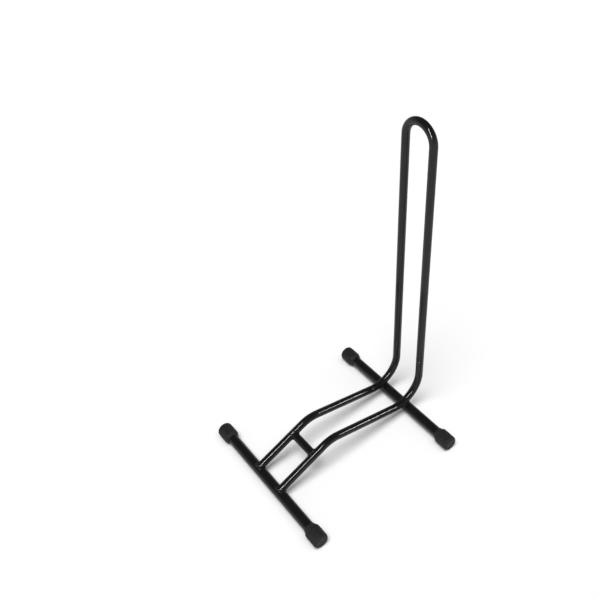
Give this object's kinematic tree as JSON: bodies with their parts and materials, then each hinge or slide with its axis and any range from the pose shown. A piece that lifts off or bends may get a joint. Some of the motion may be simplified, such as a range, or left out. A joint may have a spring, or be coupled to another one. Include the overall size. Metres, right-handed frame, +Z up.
{
  "type": "bicycle floor stand",
  "caption": "Black tubular steel floor stand that holds a bicycle wheel between two humped rails and a tall plug-on hoop, with rubber end caps.",
  "frame": {"origin": "on the floor, under the middle of the whole stand", "axes": "+X along the floor tubes to the right cap, +Y from the wheel's entry to the hoop, +Z up"},
  "size_m": [0.388, 0.4812, 0.7463],
  "materials": {
    "black_powder_coat": "semi-gloss black powder coat",
    "coated_weld": "rippled weld bead under the same black powder coat",
    "rubber": "matt dark grey moulded rubber",
    "spigot_steel": "bare drawn steel, zinc plated"
  },
  "bodies": {
    "base": {"front_floor_tube": "black_powder_coat", "rear_floor_tube": "black_powder_coat", "left_rail": "black_powder_coat", "right_rail": "black_powder_coat", "wheel_rest_bar": "black_powder_coat", "front_left_cap": "rubber", "front_right_cap": "rubber", "rear_left_cap": "rubber", "rear_right_cap": "rubber", "front_left_weld": "coated_weld", "front_right_weld": "coated_weld", "rear_left_weld": "coated_weld", "rear_right_weld": "coated_weld", "rest_bar_left_weld": "coated_weld", "rest_bar_right_weld": "coated_weld", "left_spigot": "spigot_steel", "right_spigot": "spigot_steel"},
    "upper_hoop": {"hoop": "black_powder_coat"}
  },
  "joints": [
    {"name": "hoop_lift", "type": "slide", "parent": "base", "child": "upper_hoop", "axis": [0, 0.0698, 0.9976], "range_m": [0, 0.065]}
  ]
}
